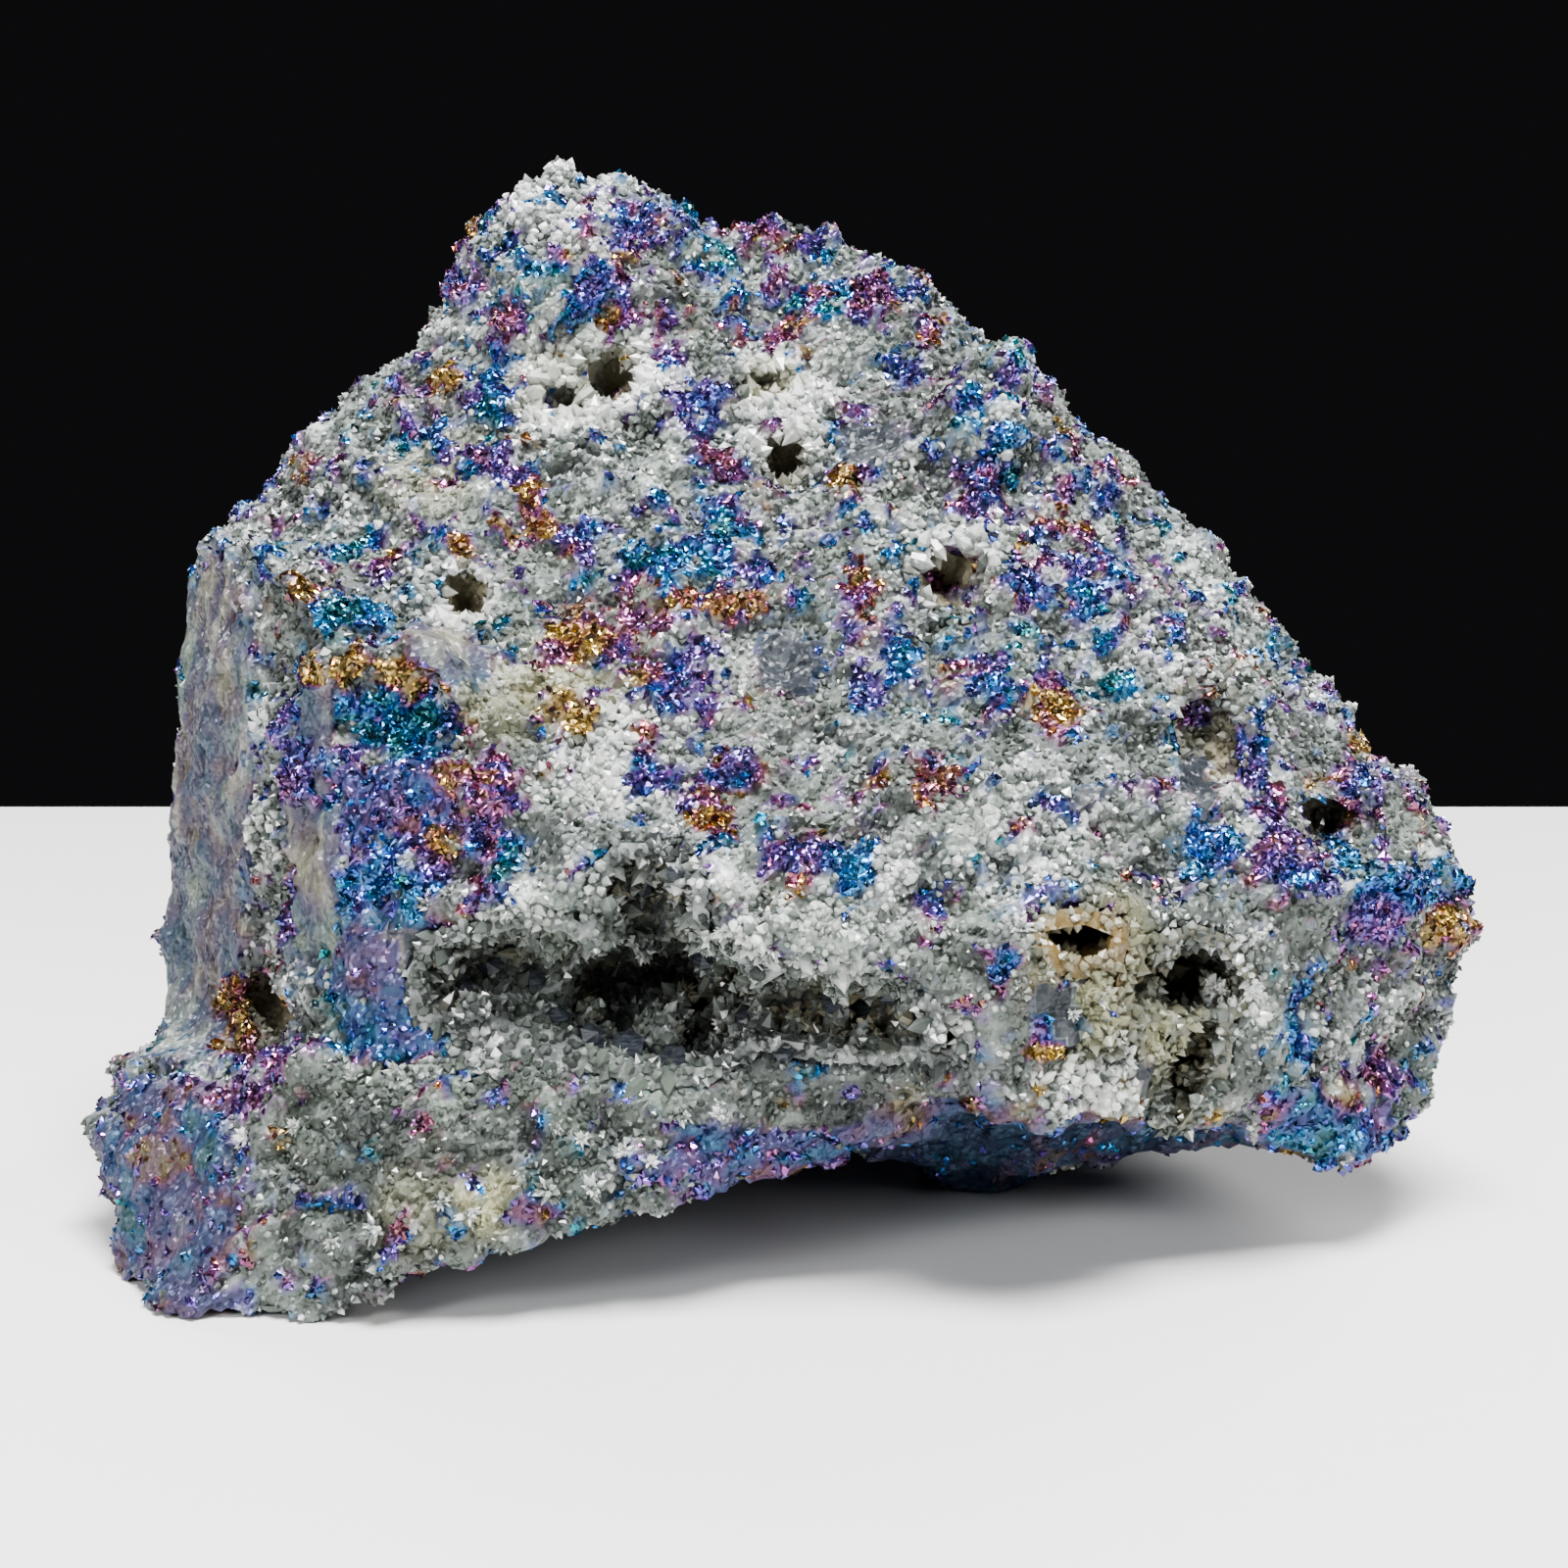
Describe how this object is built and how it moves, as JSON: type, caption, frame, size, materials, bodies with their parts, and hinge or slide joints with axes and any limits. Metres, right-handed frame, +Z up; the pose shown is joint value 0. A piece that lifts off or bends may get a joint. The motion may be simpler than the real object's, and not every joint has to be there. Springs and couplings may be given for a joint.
{
  "type": "peacock ore specimen",
  "caption": "Broken lump of iridescent copper ore grown through with fine quartz, with crystal-lined hollows and small pits; stands on its own small flat spots.",
  "frame": {"origin": "under the middle of the bounding box, on the surface that the lump stands on", "axes": "+X along the lump's length, to the right as its front is seen; +Y away from the front face with the hollows; +Z up"},
  "size_m": [0.1478, 0.0976, 0.1136],
  "materials": {
    "tarnished_ore": "rough broken rock of gray-white quartz with glittering blue, violet, magenta and gold tarnish",
    "dark_quartz": "glassy gray quartz points",
    "stained_quartz": "glassy quartz points with a yellow-brown stain"
  },
  "bodies": {
    "root": {"ore_rock": "tarnished_ore", "cavern_crystals": "dark_quartz", "right_hollow_crystals": "stained_quartz"}
  },
  "joints": []
}
